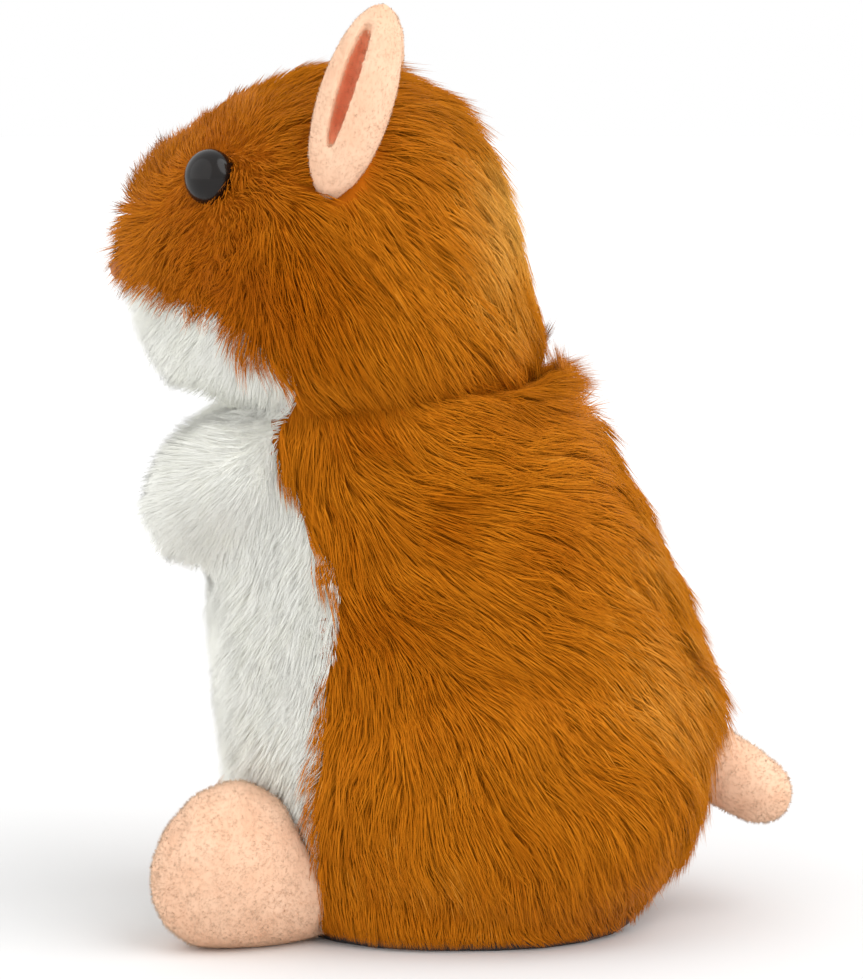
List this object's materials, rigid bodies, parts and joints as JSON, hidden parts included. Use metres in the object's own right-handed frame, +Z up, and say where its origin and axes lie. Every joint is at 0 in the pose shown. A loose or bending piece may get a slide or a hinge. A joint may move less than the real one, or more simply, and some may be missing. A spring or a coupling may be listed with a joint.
{
  "type": "interactive plush pet",
  "caption": "Upright plush hamster with a nodding head, folded ears, stuffed feet and a stub tail, sewn round a battery-powered voice box.",
  "frame": {"origin": "middle of the box's bottom face, on the surface that the toy stands on, under the belly", "axes": "+Z up, -Y the way the toy faces, +X its left side"},
  "size_m": [0.073, 0.1204, 0.1599],
  "materials": {
    "brown_fur": "long orange-brown plush fur",
    "white_fur": "dense soft white plush fur",
    "pink_plush": "short-pile pale pink plush",
    "nose_thread": "satin-stitched thread",
    "eye_gloss": "glossy near-black dome",
    "stuffing": "polyester fibre filling",
    "white_plastic": "moulded white plastic",
    "grey_plastic": "moulded grey plastic",
    "black_plastic": "fine-textured black plastic",
    "gear_plastic": "natural acetal",
    "steel": "plated steel",
    "board": "green circuit board",
    "speaker_paper": "pressed paper",
    "cell_jacket": "plain satin jacket",
    "red_wire": "red insulation",
    "black_wire": "black insulation"
  },
  "bodies": {
    "body": {"body_fur": "brown_fur", "belly_fur": "white_fur", "left_haunch": "brown_fur", "right_haunch": "brown_fur", "left_foot": "pink_plush", "right_foot": "pink_plush", "left_paw": "white_fur", "right_paw": "white_fur", "tail": "pink_plush", "body_stuffing": "stuffing", "nod_pin": "steel", "neck_bracket": "white_plastic", "motor": "steel", "gearbox_inner_plate": "grey_plastic", "gearbox_outer_plate": "grey_plastic", "case_front": "white_plastic", "case_rear": "white_plastic", "case_screw_left": "steel", "case_screw_right": "steel", "speaker_frame": "steel", "speaker_cone": "speaker_paper", "speaker_magnet": "steel", "microphone": "steel", "circuit_board": "board", "sound_chip": "black_plastic", "battery_tray": "black_plastic", "battery_1": "cell_jacket", "battery_2": "cell_jacket", "battery_3": "cell_jacket", "contact_positive": "steel", "contact_bridge_right": "steel", "contact_bridge_left": "steel", "contact_negative": "steel", "switch_body": "grey_plastic", "battery_lead_red": "red_wire", "battery_lead_black": "black_wire", "motor_lead": "red_wire", "speaker_lead": "red_wire"},
    "head": {"head_fur": "brown_fur", "chin_fur": "white_fur", "left_ear": "pink_plush", "right_ear": "pink_plush", "left_eye": "eye_gloss", "right_eye": "eye_gloss", "left_eye_washer": "white_plastic", "right_eye_washer": "white_plastic", "nose": "nose_thread", "head_stuffing": "stuffing", "nod_arm": "white_plastic"},
    "cam": {"nod_cam": "gear_plastic", "cam_shaft": "steel", "cam_gear": "gear_plastic"},
    "second_idler": {"idler_gear_2": "gear_plastic"},
    "first_idler": {"idler_gear_1": "gear_plastic"},
    "rotor": {"motor_pinion": "gear_plastic"},
    "battery_cover": {"battery_door": "black_plastic", "battery_door_screw": "steel"},
    "power_switch": {"switch_knob": "black_plastic"}
  },
  "joints": [
    {"name": "head_nod", "type": "hinge", "parent": "body", "child": "head", "pos_m": [0, -0.012, 0.08], "axis": [1, 0, 0], "range_deg": [-7, 7]},
    {"name": "cam_spin", "type": "hinge", "parent": "body", "child": "cam", "pos_m": [0, 0.00719, 0.05718], "axis": [1, 0, 0], "continuous": true},
    {"name": "second_idler_spin", "type": "hinge", "parent": "body", "child": "second_idler", "pos_m": [0, 0.00468, 0.04782], "axis": [1, 0, 0], "continuous": true},
    {"name": "first_idler_spin", "type": "hinge", "parent": "body", "child": "first_idler", "pos_m": [0, 0.00468, 0.03812], "axis": [1, 0, 0], "continuous": true},
    {"name": "rotor_spin", "type": "hinge", "parent": "body", "child": "rotor", "pos_m": [0, 0.008, 0.029], "axis": [1, 0, 0], "continuous": true},
    {"name": "battery_door_slide", "type": "slide", "parent": "body", "child": "battery_cover", "axis": [0, 0, -1], "range_m": [0, 0.02]},
    {"name": "power_switch_slide", "type": "slide", "parent": "body", "child": "power_switch", "axis": [1, 0, 0], "range_m": [0, 0.003]}
  ],
  "couplings": [
    {"joint": "second_idler_spin", "follows": "cam_spin", "ratio": -3},
    {"joint": "first_idler_spin", "follows": "cam_spin", "ratio": 9},
    {"joint": "rotor_spin", "follows": "cam_spin", "ratio": -27}
  ]
}
